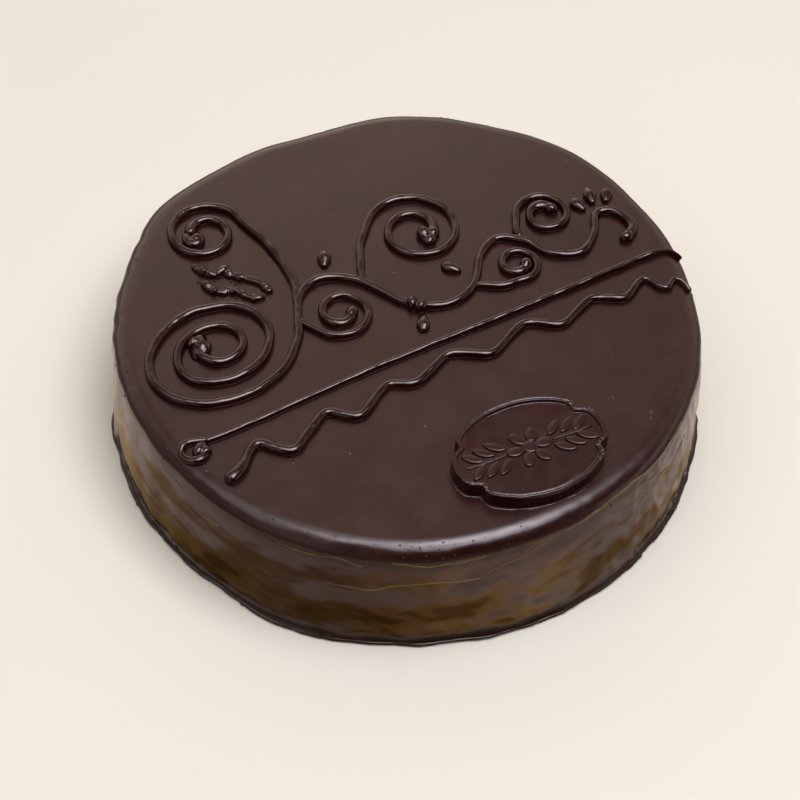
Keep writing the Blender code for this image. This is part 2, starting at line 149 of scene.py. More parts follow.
BRANCHES = {
    "piped_scroll_upper": {
        "lead": ((-0.0350, 0.0183), (-0.0290, 0.0330), (-0.0280, 0.0520)),
        "centre": (-0.0455, 0.0695),
        "radii": (0.0155, 0.0050),
        "turns": 1.5,
        "bearing": -12,
        "sense": 1,
        "end": 1.8,
    },
    "piped_scroll_lower": {
        "lead": ((-0.0370, 0.0147),),
        "centre": (-0.0220, 0.0105),
        "radii": (0.0120, 0.0040),
        "turns": 1.35,
        "bearing": 195,
        "sense": 1,
        "end": 1.6,
    },
    "piped_scroll_top": {
        "lead": ((-0.0080, 0.0190), (0.0000, 0.0340)),
        "centre": (0.0230, 0.0320),
        "radii": (0.0190, 0.0055),
        "turns": 1.6,
        "bearing": 150,
        "sense": -1,
        "end": 1.9,
    },
    "piped_scroll_middle": {
        "lead": ((0.0270, -0.0020), (0.0350, -0.0075)),
        "centre": (0.0460, -0.0010),
        "radii": (0.0085, 0.0035),
        "turns": 1.2,
        "bearing": 240,
        "sense": 1,
        "end": 1.6,
    },
    "piped_scroll_right": {
        "lead": ((0.0545, 0.0090), (0.0555, 0.0140)),
        "centre": (0.0690, 0.0150),
        "radii": (0.0110, 0.0040),
        "turns": 1.4,
        "bearing": 165,
        "sense": -1,
        "end": 1.6,
    },
}
SCROLL_TAIL = ((-0.0733, 0.0213), (-0.0751, 0.0180))
SPIRAL_POINTS = 12
RUFFLES = {
    "piped_ruffle_back": (
        (-0.0558, 0.0562),
        (-0.0545, 0.0522),
        (-0.0524, 0.0497),
        (-0.0496, 0.0496),
        (-0.0474, 0.0502),
        (-0.0470, 0.0470),
        (-0.0450, 0.0444),
        (-0.0424, 0.0416),
        (-0.0402, 0.0384),
        (-0.0388, 0.0344),
        (-0.0386, 0.0315),
    ),
    "piped_ruffle_front": (
        (-0.0576, 0.0454),
        (-0.0558, 0.0424),
        (-0.0536, 0.0402),
        (-0.0512, 0.0404),
        (-0.0488, 0.0384),
        (-0.0468, 0.0352),
        (-0.0452, 0.0328),
        (-0.0432, 0.0314),
    ),
}
LEAVES = (
    (-0.0160, 0.0325, 60, 0.0090),
    (0.0035, -0.0050, 235, 0.0088),
    (0.0262, 0.0058, 120, 0.0085),
    (0.0925, 0.0090, 50, 0.0075),
    (0.0880, 0.0105, 72, 0.0095),
    (0.0835, 0.0090, 98, 0.0080),
)

PLAQUE_CENTRE = (0.0432, -0.0649)
PLAQUE_TURN = math.radians(27)
PLAQUE_HALF_LENGTH = 0.0284
PLAQUE_HALF_WIDTH = 0.0210
PLAQUE_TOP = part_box("moulded_plaque")[1].z
PLAQUE_NOTCH_BEARINGS = (28, 152, 208, 332)
PLAQUE_NOTCH_DEPTH = 0.09
PLAQUE_NOTCH_SPREAD = 7
FIELD_DEPTH = 0.0011
ROSETTE_RADIUS = 0.0028
PETAL_COUNT = 6
PETAL_OFFSET = 0.0054
PETAL_SIZE = (0.0032, 0.0021)
SPRIG_LEAF_COUNT = 3
SPRIG_START = 0.0112
SPRIG_PITCH = 0.0046
SPRIG_SPREAD = 0.0046
SPRIG_LEAF_SIZE = (0.0040, 0.0017)
SPRIG_LEAF_TURN = math.radians(38)
RELIEF_HEIGHT = 0.0008

# the plaque is even about its middle, so its box gives where the whole layout stands
plaque_low, plaque_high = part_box("moulded_plaque")
LAYOUT_SHIFT = Vector(
    (
        (plaque_low.x + plaque_high.x) / 2 - PLAQUE_CENTRE[0],
        (plaque_low.y + plaque_high.y) / 2 - PLAQUE_CENTRE[1],
        0.0,
    )
)

# shoulder in four stretches, each with its end angle in degrees and its radius
SHOULDER_ARCS = ((12, 0.0080), (36, 0.0076), (66, 0.0066), (84, 0.0040))
SHOULDER_DETAIL = 28


# ---------------------------------------------------------------- helpers


def wave_field(seed, wavelength, count=22):
    """Smooth random field: many waves of about one wavelength in all directions, about -2 to 2."""
    draw = np.random.default_rng(seed)
    ways = draw.normal(size=(count, 3))
    ways /= np.linalg.norm(ways, axis=1)[:, None]
    ways *= (2 * math.pi / wavelength) * draw.uniform(0.7, 1.35, size=(count, 1))
    phases = draw.uniform(0, 2 * math.pi, count)

    def field(points):
        return np.cos(np.asarray(points) @ ways.T + phases).sum(axis=-1) * math.sqrt(2 / count)

    return field


def smooth_step(low, high, value):
    part = np.clip((np.asarray(value, float) - low) / (high - low), 0, 1)
    return part * part * (3 - 2 * part)


def bump_of(bearing, bulges):
    shift = np.zeros_like(np.asarray(bearing, float))
    for middle, width, rise in bulges:
        apart = (bearing - middle + 180) % 360 - 180
        shift = shift + rise * np.exp(-((apart / width) ** 2))
    return shift


def foot_shift(bearing):
    turn = np.radians(bearing)
    waves = sum(rise * np.sin(count * turn + phase) for count, rise, phase in FOOT_WAVES)
    return bump_of(bearing, FOOT_BULGES) + waves


def shoulder_table():
    """Angle, distance out from the flat's end and drop below the top, down the shoulder."""
    rows = [(0.0, 0.0, 0.0)]
    begin, out, drop = 0.0, 0.0, 0.0
    for end_degrees, radius in SHOULDER_ARCS:
        end = math.radians(end_degrees)
        parts = max(3, round(SHOULDER_DETAIL * (end - begin) / math.radians(SHOULDER_ARCS[-1][0])))
        for part in range(1, parts + 1):
            angle = begin + (end - begin) * part / parts
            rows.append(
                (
                    angle,
                    out + radius * (math.sin(angle) - math.sin(begin)),
                    drop + radius * (math.cos(begin) - math.cos(angle)),
                )
            )
        begin, (_, out, drop) = end, rows[-1]
    return np.array(rows)


SHOULDER = shoulder_table()
FLAT_RADIUS = TOP_RADIUS - SHOULDER[-1, 1]
SHOULDER_LENGTHS = np.concatenate(
    ([0.0], np.cumsum(np.hypot(np.diff(SHOULDER[:, 1]), np.diff(SHOULDER[:, 2]))))
)


def new_piece(name, points, faces, material, replaced=()):
    mesh = bpy.data.meshes.new(name)
    mesh.from_pydata([tuple(p) for p in points], [], [tuple(f) for f in faces])
    mesh.update()
    return finished(bpy.data.objects.new(name, mesh), material, replaced)


def finished(piece, material, replaced=()):
    if piece.name not in bpy.context.scene.collection.objects:
        bpy.context.scene.collection.objects.link(piece)
    piece.data.shade_smooth()
    piece.data.materials.clear()
    piece.data.materials.append(material)
    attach(piece, "root")
    if replaced:
        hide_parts(*replaced)
    return piece


# ---------------------------------------------------------------- materials


class Nodes:
    """Short way to build a node tree."""

    def __init__(self, tree):
        self.tree = tree

    def add(self, kind, **settings):
        node = self.tree.nodes.new(kind)
        for key, value in settings.items():
            if hasattr(node, key):
                setattr(node, key, value)
            else:
                node.inputs[key.replace("_", " ")].default_value = value
        return node

    def link(self, out_socket, in_socket):
        self.tree.links.new(out_socket, in_socket)

    def math(self, operation, first, second=0.0, third=None):
        node = self.tree.nodes.new("ShaderNodeMath")
        node.operation = operation
        for index, value in enumerate((first, second, third)):
            if value is None:
                continue
            if hasattr(value, "is_output"):
                self.link(value, node.inputs[index])
            else:
                node.inputs[index].default_value = value
        return node.outputs[0]

    def noise(self, vector, scale, detail=2.0, roughness=0.5, distortion=0.0):
        node = self.tree.nodes.new("ShaderNodeTexNoise")
        node.inputs["Scale"].default_value = scale
        node.inputs["Detail"].default_value = detail
        node.inputs["Roughness"].default_value = roughness
        node.inputs["Distortion"].default_value = distortion
        self.link(vector, node.inputs["Vector"])
        return node.outputs["Fac"]

    def ramp(self, value, low, high, to_low, to_high):
        node = self.tree.nodes.new("ShaderNodeMapRange")
        node.interpolation_type = "SMOOTHSTEP"
        self.link(value, node.inputs["Value"])
        for name, number in (
            ("From Min", low),
            ("From Max", high),
            ("To Min", to_low),
            ("To Max", to_high),
        ):
            node.inputs[name].default_value = number
        return node.outputs["Result"]

    def blend(self, factor, first, second):
        node = self.tree.nodes.new("ShaderNodeMix")
        node.data_type = "RGBA"
        self.link(factor, node.inputs["Factor"])
        for name, value in (("A", first), ("B", second)):
            socket = [s for s in node.inputs if s.name == name and s.type == "RGBA"][0]
            if hasattr(value, "is_output"):
                self.link(value, socket)
            else:
                socket.default_value = (*value, 1.0)
        return [s for s in node.outputs if s.type == "RGBA"][0]

    def bump(self, height, distance, strength=1.0, normal=None):
        node = self.tree.nodes.new("ShaderNodeBump")
        node.inputs["Strength"].default_value = strength
        node.inputs["Distance"].default_value = distance
        self.link(height, node.inputs["Height"])
        if normal is not None:
            self.link(normal, node.inputs["Normal"])
        return node.outputs["Normal"]


def chocolate(name, dark, light, roughness, grain=0.00002, pits=0.00012, ior=1.38, tint=(1, 1, 1)):
    """Dark chocolate: clouded colour, uneven gloss, fine grain and pinholes."""
    material = bpy.data.materials.new(name)
    material.use_nodes = True
    tree = material.node_tree
    shader = tree.nodes["Principled BSDF"]
    build = Nodes(tree)
    place = build.add("ShaderNodeTexCoord").outputs["Object"]
    clouds = build.noise(place, 34, 3, 0.55)
    mottle = build.noise(place, 260, 3, 0.6)
    tone = build.math("ADD", build.math("MULTIPLY", clouds, 0.7), build.math("MULTIPLY", mottle, 0.3))
    colour = build.blend(build.ramp(tone, 0.36, 0.64, 0.0, 1.0), dark, light)
    build.link(colour, shader.inputs["Base Color"])
    gloss = build.noise(place, 85, 4, 0.6)
    build.link(build.ramp(gloss, 0.3, 0.7, *roughness), shader.inputs["Roughness"])
    shader.inputs["IOR"].default_value = ior
    shader.inputs["Specular Tint"].default_value = (*tint, 1.0)
    normal = build.bump(build.noise(place, 1500, 2, 0.5), grain)
    holes = build.add("ShaderNodeTexVoronoi")
    holes.inputs["Scale"].default_value = 210
    build.link(place, holes.inputs["Vector"])
    lot = build.math("GREATER_THAN", build.noise(place, 160, 1), 0.6)
    pit = build.math("MULTIPLY", build.ramp(holes.outputs["Distance"], 0.06, 0.14, 1.0, 0.0), lot)
    normal = build.bump(pit, pits, normal=normal)
    build.link(normal, shader.inputs["Normal"])
    return material


def side_painted_reflection_and_shade(material, upper_painted_reflection, low_painted_reflection, foot_painted_shade, gloss):
    """The side of the glaze is glossier than the top, and its colour is painted: painted reflection makes it paler
    than the top and browner low down, and painted shade makes it dark at the foot.
    """
    tree = material.node_tree
    shader = tree.nodes["Principled BSDF"]
    build = Nodes(tree)
    place = build.add("ShaderNodeTexCoord").outputs["Object"]
    parts = build.add("ShaderNodeSeparateXYZ")
    build.link(place, parts.inputs[0])
    height = parts.outputs["Z"]
    # painted reflection and painted shade by height: the side's colour goes browner low down and dark at the foot
    low = build.ramp(height, 0.012, 0.030, 1.0, 0.0)
    foot = build.ramp(height, 0.0035, 0.0085, 1.0, 0.0)
    below = build.ramp(height, CAKE_HEIGHT - 0.010, CAKE_HEIGHT - 0.0065, 1.0, 0.0)
    over = shader.inputs["Base Color"].links[0].from_socket
    side = build.blend(foot, build.blend(low, upper_painted_reflection, low_painted_reflection), foot_painted_shade)
    build.link(build.blend(below, over, side), shader.inputs["Base Color"])
    matt = shader.inputs["Roughness"].links[0].from_socket
    upper = build.ramp(height, CAKE_HEIGHT - 0.012, CAKE_HEIGHT - 0.005, 0.0, 1.0)
    spread = build.math("MULTIPLY", build.math("SUBTRACT", matt, gloss), upper)
    dull = build.math("MULTIPLY", foot, 0.10)
    build.link(build.math("ADD", build.math("ADD", gloss, dull), spread), shader.inputs["Roughness"])


GLAZE = chocolate(
    "chocolate_glaze_look",
    (0.0076, 0.0012, 0.0006),
    (0.0105, 0.0018, 0.0010),
    roughness=(0.22, 0.29),
    grain=0.00001,
    tint=(1.0, 0.86, 0.76),
)
# side colours: painted reflection, paler high up and browner low down, and painted shade at the foot
side_painted_reflection_and_shade(GLAZE, (0.0200, 0.0072, 0.0050), (0.0138, 0.0033, 0.0003), (0.0070, 0.0016, 0.0003), gloss=0.15)
# the runs' golden colour is a painted reflection
RUN_PAINTED_REFLECTION = chocolate(
    "glaze_run_painted_reflection",
    (0.0420, 0.0260, 0.0070),
    (0.0720, 0.0470, 0.0150),
    roughness=(0.15, 0.21),
    grain=0.00001,
    tint=(1.0, 0.86, 0.76),
)
PIPING = chocolate(
    "piped_chocolate_look",
    (0.0052, 0.0006, 0.0003),
    (0.0074, 0.0010, 0.0005),
    roughness=(0.07, 0.11),
    grain=0.00001,
    pits=0.00004,
    tint=(1.0, 0.83, 0.70),
)
MOULDED = chocolate(
    "moulded_chocolate_look",
    (0.0077, 0.0014, 0.0009),
    (0.0105, 0.0021, 0.0015),
    roughness=(0.16, 0.23),
    ior=1.31,
    tint=(1.0, 0.86, 0.78),
)
# the chips' pale colour is a painted highlight: glints
CHIPPED_PAINTED_GLINT = chocolate("chip_painted_glint_look", (0.09, 0.06, 0.045), (0.16, 0.12, 0.10), roughness=(0.3, 0.4))


# ---------------------------------------------------------------- glazed cake

BODY_TURNS = 720
# thin runs where the glaze wrinkled as it set: bearing in degrees and height in metres
SIDE_RUNS = (
    ((-91, 0.0460), (-83, 0.0440), (-74, 0.0455)),
    ((-103, 0.0315), (-98, 0.0305), (-94, 0.0310), (-90, 0.0330), (-84, 0.0355), (-79, 0.0340), (-75, 0.0340)),
    ((-75, 0.0340), (-73, 0.0370), (-69, 0.0395), (-65, 0.0410), (-61, 0.0440), (-55, 0.0450), (-49, 0.0462)),
    ((-112, 0.0440), (-104, 0.0440), (-100, 0.0450), (-96, 0.0430)),
    ((-54, 0.0455), (-49, 0.0470), (-44, 0.0472), (-38, 0.0465), (-31, 0.0460), (-24, 0.0470)),
    ((-48, 0.0430), (-42, 0.0425), (-38, 0.0400), (-35, 0.0395), (-32, 0.0425), (-28, 0.0440), (-22, 0.0450)),
    ((-40, 0.0330), (-34, 0.0350), (-28, 0.0330), (-22, 0.0370)),
    ((-140, 0.0420), (-134, 0.0400), (-129, 0.0360), (-124, 0.0365)),
    ((20, 0.0430), (32, 0.0400), (41, 0.0415), (55, 0.0390)),
    ((100, 0.0360), (112, 0.0385), (121, 0.0370), (138, 0.0400)),
)


def body_rings():
    """Rings of the cake's section: distance out, height, and the slope of its surface."""
    rings = []
    for part in np.linspace(0.03, 1.0, 34) ** 0.8:
        rings.append((FLAT_RADIUS * part, CAKE_HEIGHT, 0.0))
    for angle, out, drop in SHOULDER[1:]:
        rings.append((FLAT_RADIUS + out, CAKE_HEIGHT - drop, angle))
    brow_out, brow_height = rings[-1][0], rings[-1][1]
    side_end, side_foot = BASE_RADIUS - 0.0014, 0.0052
    for part in np.linspace(0, 1, 44)[1:]:
        out = brow_out + (side_end - brow_out) * part + 0.00070 * math.sin(math.pi * part)
        rings.append((out, brow_height + (side_foot - brow_height) * part, math.radians(87)))
    for turn in np.radians(np.linspace(0, 90, 8)[1:]):
        out = side_end + 0.0014 * (1 - math.cos(turn))
        rings.append((out, side_foot - 0.0034 * math.sin(turn), math.radians(80)))
    for turn in np.radians(np.linspace(0, 90, 6)[1:]):
        out = BASE_RADIUS - 0.0014 * (1 - math.cos(turn))
        rings.append((out, 0.0018 - 0.0018 * math.sin(turn), math.pi / 2))
    rings.append((BASE_RADIUS - 0.008, 0.0, math.pi))
    rings.append((BASE_RADIUS * 0.5, 0.0, math.pi))
    return np.array(rings)


def body_surface(out, height, slope, bearings):
    """Points of the cake's skin from its section, its bulges and its ripples."""
    turn = np.radians(bearings)
    weight = np.clip((out / FLAT_RADIUS - STILL_MIDDLE) / (1 - STILL_MIDDLE), 0, 1)
    low = 1 - height / CAKE_HEIGHT
    shift = bump_of(bearings, SHOULDER_BULGES) * (1 - SHOULDER_FALL_OFF * low)
    shift = shift + foot_shift(bearings) * low**FOOT_FALL_OFF
    out = out + weight * shift
    place = np.stack([out * np.cos(turn), out * np.sin(turn), height], axis=-1)
    proud = body_ripples(place, height, slope, bearings)
    out = out + proud * np.sin(slope)
    rise = height + proud * np.cos(slope) * (slope < 3)
    return np.stack([out * np.cos(turn), out * np.sin(turn), rise], axis=-1) + np.array(LAYOUT_SHIFT)


def side_place(spot):
    """A point of the side from its length around and its height, and the way out there."""
    turn = spot[0] / BASE_RADIUS
    rings = SECTION[SECTION[:, 2] < 3][::-1]
    height = spot[1]
    out = float(np.interp(height, rings[:, 1], rings[:, 0]))
    slope = float(np.interp(height, rings[:, 1], rings[:, 2]))
    point = body_surface(np.array([out]), np.array([height]), np.array([slope]), np.array([math.degrees(turn)]))[0]
    outward = Vector((math.cos(turn), math.sin(turn), 0.0))
    return Vector(point), outward * math.sin(slope) + Vector((0.0, 0.0, math.cos(slope)))


SECTION = body_rings()


def build_body():
    rings = SECTION
    bearing = 360 * np.arange(BODY_TURNS) / BODY_TURNS
    out, height, slope = (np.repeat(rings[:, k : k + 1], BODY_TURNS, axis=1) for k in range(3))
    bearings = np.repeat(bearing[None, :], len(rings), axis=0)
    points = body_surface(out, height, slope, bearings).reshape(-1, 3)
    poles = np.array([[0, 0, CAKE_HEIGHT], [0, 0, 0]]) + np.array(LAYOUT_SHIFT)
    points = np.concatenate([points, poles])
    faces = []
    count = len(rings)
    for ring in range(count - 1):
        for step in range(BODY_TURNS):
            ahead = (step + 1) % BODY_TURNS
            a, b = ring * BODY_TURNS + step, ring * BODY_TURNS + ahead
            faces.append((a, a + BODY_TURNS, b + BODY_TURNS, b))
    last = (count - 1) * BODY_TURNS
    for step in range(BODY_TURNS):
        ahead = (step + 1) % BODY_TURNS
        faces.append((step, ahead, count * BODY_TURNS))
        faces.append((last + ahead, last + step, count * BODY_TURNS + 1))
    return new_piece("glaze_body", points, faces, GLAZE, ("glazed_cake",))


def body_ripples(place, height, slope, bearings):
    """How far the poured glaze stands proud of its plain section."""
    top = slope < 0.2
    drop = CAKE_HEIGHT - height
    swell = 0.00004 * wave_field(3, 0.042)(place * (1, 1, 0.5))
    lean = smooth_step(0.15, 1.2, slope)
    wavy = 0.00014 * wave_field(5, 0.034)(place * (1, 1, 1.8))
    fine = 0.00003 * wave_field(7, 0.013)(place * (1, 1, 1.5))
    side = smooth_step(0.003, 0.010, drop)
    left = smooth_step(18, 34, 45 - np.abs((bearings - 176 + 180) % 360 - 180))
    folds = 0.00022 * wave_field(11, 0.011)(place * (1, 1, 0.25)) * left * lean
    brim = 0.00010 * wave_field(13, 0.017)(place * (1, 1, 0.6)) * lean
    brim = brim + 0.000018 * wave_field(29, 0.0055)(place) * smooth_step(0.05, 0.4, slope)
    right = smooth_step(0, 10, 30 - np.abs((bearings + 22 + 180) % 360 - 180))
    crease = 1 - np.abs(wave_field(23, 0.0135)(place * (1, 1, 0.55)))
    folds = folds + 0.00022 * np.clip(crease, -0.4, 1) * right * side
    foot = smooth_step(0.009, 0.002, height)
    pooled = 0.00016 * wave_field(17, 0.0120)(place * (1, 1, 1.2)) * foot
    lumps = 0.00005 * wave_field(19, 0.0045)(place) * foot
    proud = np.where(top, swell, swell + brim) + (wavy + fine) * side + folds + pooled + lumps
    return proud * (slope < 3)


# ---------------------------------------------------------------- piping

VOXEL = 0.00020
FINE_STEP = 0.0005
DOME_POINTS = 19
FOOT_DEPTH = 0.0001


def in_plan(point):
    along, across = point
    x = along * math.cos(PIPING_TURN) - across * math.sin(PIPING_TURN)
    y = along * math.sin(PIPING_TURN) + across * math.cos(PIPING_TURN)
    return x, y


def laid_on_glaze(point):
    """A plan point laid on the glaze, over the shoulder where it reaches so far, and the normal there."""
    x, y = in_plan(point)
    out = math.hypot(x, y)
    bearing = math.atan2(y, x)
    edge = FLAT_RADIUS + float(bump_of(math.degrees(bearing), SHOULDER_BULGES))
    outward = Vector((math.cos(bearing), math.sin(bearing), 0.0))
    upward = Vector((0.0, 0.0, 1.0))
    run = max(0.0, out - edge)
    angle = float(np.interp(run, SHOULDER_LENGTHS, SHOULDER[:, 0]))
    over = float(np.interp(run, SHOULDER_LENGTHS, SHOULDER[:, 1]))
    drop = float(np.interp(run, SHOULDER_LENGTHS, SHOULDER[:, 2]))
    normal = outward * math.sin(angle) + upward * math.cos(angle)
    place = outward * (min(out, edge) + over) + upward * (CAKE_HEIGHT - drop)
    return place + LAYOUT_SHIFT, normal


def smooth_through(points, parts=8):
    """Catmull-Rom curve through the points, in plan."""
    guide = [Vector(point) for point in points]
    guide.insert(0, 2 * guide[0] - guide[1])
    guide.append(2 * guide[-1] - guide[-2])
    path = []
    for index in range(1, len(guide) - 2):
        before, here, there, after = guide[index - 1 : index + 3]
        for part in range(parts):
            t = part / parts
            path.append(
                0.5
                * (
                    2 * here
                    + (there - before) * t
                    + (2 * before - 5 * here + 4 * there - after) * t**2
                    + (3 * here - before - 3 * there + after) * t**3
                )
            )
    path.append(guide[-2])
    return path


def even_steps(path, step):
    """The same path with its points an even distance apart."""
    lengths = [0.0]
    for here, there in zip(path, path[1:]):
        lengths.append(lengths[-1] + (there - here).length)
    count = max(2, round(lengths[-1] / step))
    result = []
    index = 0
    for number in range(count + 1):
        target = lengths[-1] * number / count
        while index < len(path) - 2 and lengths[index + 1] < target:
            index += 1
        span = lengths[index + 1] - lengths[index]
        result.append(path[index].lerp(path[index + 1], (target - lengths[index]) / span))
    return result


def eased(path, rounds):
    """The same path with its corners eased; its ends stay."""
    line = np.array([tuple(point) for point in path])
    for _ in range(rounds):
        line[1:-1] = 0.25 * line[:-2] + 0.5 * line[1:-1] + 0.25 * line[2:]
    return [Vector(point) for point in line]


def spiral(centre, radii, turns, bearing, sense, flatness=1.0, tilt=0.0):
    """Points of a flat spiral from its outer end to its inner end, in plan."""
    count = round(turns * SPIRAL_POINTS)
    points = []
    for number in range(count + 1):
        part = number / count
        radius = radii[0] + (radii[1] - radii[0]) * part
        turn = math.radians(bearing) + sense * 2 * math.pi * turns * part
        a = radius * math.cos(turn)
        b = radius * flatness * math.sin(turn)
        along = centre[0] + a * math.cos(tilt) - b * math.sin(tilt)
        across = centre[1] + a * math.sin(tilt) + b * math.cos(tilt)
        points.append((along, across))
    return points


class Strokes:
    """Closed shapes of piped chocolate gathered into one piece."""

    def __init__(self, lay=None):
        self.lay = lay or laid_on_glaze
        self.points = []
        self.faces = []

    def bead(self, path, widths, seed, height=1.0, shake=0.00008, ease=10, sink=0.0):
        """A piped bead along a plan path; widths are (distance, relative width) pairs, negative from the end."""
        path = eased(even_steps(path, FINE_STEP), ease)
        run = np.array([0.0] + [(there - here).length for here, there in zip(path, path[1:])]).cumsum()
        length = run[-1]
        stops = sorted((d if d >= 0 else length + d, w) for d, w in widths)
        wide = np.interp(run, [s[0] for s in stops], [s[1] for s in stops])
        line = np.stack([run, np.full_like(run, seed * 0.37), np.zeros_like(run)], axis=-1)
        wide = wide * (1 + 0.03 * wave_field(seed, 0.010)(line) + 0.012 * wave_field(seed + 1, 0.004)(line))
        tall = np.sqrt(wide) * (1 + 0.025 * wave_field(seed + 2, 0.009)(line))
        half = BEAD_WIDTH / 2 * wide
        rise = BEAD_HEIGHT * height * tall
        ends = np.minimum(run, length - run) / half
        cap = np.sqrt(np.clip(1 - np.clip(1 - ends, 0, 1) ** 2, 0.0, 1))
        half = np.maximum(half * cap, 0.00006)
        rise = np.maximum(rise * (0.25 + 0.75 * cap) * (cap > 0.05), 0.00005)
        aside = shake * wave_field(seed + 3, 0.012)(line)
        laid = [self.lay(spot) for spot in path]
        first = len(self.points)
        for index, (place, normal) in enumerate(laid):
            before = laid[max(index - 1, 0)][0]
            after = laid[min(index + 1, len(laid) - 1)][0]
            ahead = (after - before).normalized()
            across = normal.cross(ahead).normalized()
            middle = place + across * aside[index] - normal * sink
            for reach, lift in bead_section(half[index], rise[index]):
                self.points.append(middle + across * reach + normal * lift)
        ring = DOME_POINTS + 6
        for index in range(len(laid) - 1):
            a = first + index * ring
            for number in range(ring):
                ahead = (number + 1) % ring
                self.faces.append((a + number, a + ahead, a + ring + ahead, a + ring + number))
        self.faces.append(tuple(first + number for number in reversed(range(ring))))
        end = first + (len(laid) - 1) * ring
        self.faces.append(tuple(end + number for number in range(ring)))

    def blob(self, spot, size, turn=0.0, lift=0.3, seed=0, rough=0.08, detail=3):
        """A lump of chocolate: half sizes along, across and up, turned in plan."""
        place, normal = self.lay(spot)
        shape = bmesh.new()
        bmesh.ops.create_icosphere(shape, subdivisions=detail, radius=1.0)
        turned = turn + PIPING_TURN
        along = Vector((math.cos(turned), math.sin(turned), 0.0))
        along = (along - along.dot(normal) * normal).normalized()
        across = normal.cross(along)
        field = wave_field(seed + 50, 2.4, 12)
        folds = wave_field(seed + 90, 0.8, 12)
        first = len(self.points)
        for vertex in shape.verts:
            way = np.array(vertex.co)
            p = vertex.co * (1 + rough * float(field(way)) + 0.3 * rough * float(folds(way)))
            centre = place + normal * size[2] * lift
            self.points.append(centre + along * p.x * size[0] + across * p.y * size[1] + normal * p.z * size[2])
        for face in shape.faces:
            self.faces.append(tuple(first + vertex.index for vertex in face.verts))
        shape.free()

    def mesh(self, name):
        mesh = bpy.data.meshes.new(name)
        mesh.from_pydata([tuple(p) for p in self.points], [], self.faces)
        mesh.update()
        return mesh

    def laid(self, name, slot, replaced=(), material=None):
        """The shapes as they are, one over the other."""
        return finished(bpy.data.objects.new(name, self.mesh(name)), material or PIPING, replaced)

    def melted(self, name, replaced=(), voxel=VOXEL, smoothing=4, material=None):
        """One closed skin around all the shapes, its seams smoothed."""
        mesh = self.mesh(name)
        piece = bpy.data.objects.new(name, mesh)
        bpy.context.scene.collection.objects.link(piece)
        remesh = piece.modifiers.new("Skin", "REMESH")
        remesh.mode = "VOXEL"
        remesh.voxel_size = voxel
        remesh.use_smooth_shade = True
        soften = piece.modifiers.new("Soften", "SMOOTH")
        soften.factor = 0.5
        soften.iterations = smoothing
        bpy.context.view_layer.update()
        evaluated = piece.evaluated_get(bpy.context.evaluated_depsgraph_get())
        skin = bpy.data.meshes.new_from_object(evaluated)
        piece.modifiers.clear()
        piece.data = skin
        bpy.data.meshes.remove(mesh)
        skin.name = name
        return finished(piece, material or PIPING, replaced)


def bead_section(half, rise):
    """Section of a bead as (reach, lift): a round cord a little narrower at its foot, sunk in the glaze."""
    waist = 0.36 * rise
    right = [(half * 0.80, -FOOT_DEPTH), (half * 0.90, waist * 0.34), (half * 0.975, waist * 0.68)]
    dome = []
    for turn in np.linspace(0, math.pi, DOME_POINTS):
        c = math.cos(turn)
        dome.append((math.copysign(abs(c) ** 0.90, c) * half, waist + (rise - waist) * math.sin(turn)))
    left = [(-reach, lift) for reach, lift in reversed(right)]
    return right + dome + left


def build_rule():
    soup = Strokes()
    widths = ((0, 0.68), (0.02, 0.66), (0.06, 0.70), (0.10, 0.78), (0.17, 0.86), (-0.012, 0.85), (-0.003, 0.55), (0.4, 0.5))
    soup.bead(smooth_through(RULE_ROUTE), widths, 101, 1.12, 0.00005)
    soup.bead(smooth_through(RULE_LOOP), ((0, 0.66), (0.006, 0.85), (0.014, 0.95), (-0.004, 1.1)), 105, 0.95, ease=4)
    for number, (along, size) in enumerate(RULE_NICKS):
        across = float(np.interp(along, [r[0] for r in RULE_ROUTE], [r[1] for r in RULE_ROUTE]))
        soup.blob((along, across), (size, size * 0.85, size * 1.15), 0.3, 0.42, 41 + number, 0.10)
    soup.laid("rule_piping", "piped_chocolate", ("piped_rule",))
    knot = Strokes()
    knot.blob((-0.0956, -0.0200), (0.0034, 0.0026, 0.0025), 0.5, 0.34, 1, 0.06)
    knot.blob((-0.0944, -0.0216), (0.0026, 0.0022, 0.0023), 0.3, 0.40, 2, 0.06)
    knot.melted("rule_knot")


def build_wave():
    soup = Strokes()
    bends = [bend for wave in WAVES for bend in wave]
    route = smooth_through([*WAVE_START, *bends, *WAVE_END])
    widths = ((0, 1.6), (0.004, 1.5), (0.012, 1.2), (0.03, 1.12), (0.16, 1.02), (-0.03, 0.95), (-0.008, 0.8), (-0.002, 0.55), (0.4, 0.5))
    soup.bead(route, widths, 121, 1.15, ease=30)
    soup.laid("wave_piping", "piped_chocolate", ("piped_wave",))


def curled_end(soup, spot, heading, sense, size, seed):
    """The bead's last bit curled into a tight lump."""
    path = []
    for step in range(13):
        turn = heading + sense * math.radians(28) * step
        radius = size * (1 - 0.045 * step)
        path.append((spot[0] + radius * math.cos(turn), spot[1] + radius * math.sin(turn)))
    soup.bead([Vector(p) for p in path], ((0, 1.05), (0.5 * size, 1.25), (-0.001, 1.35)), seed, 1.05, 0.0, 2)


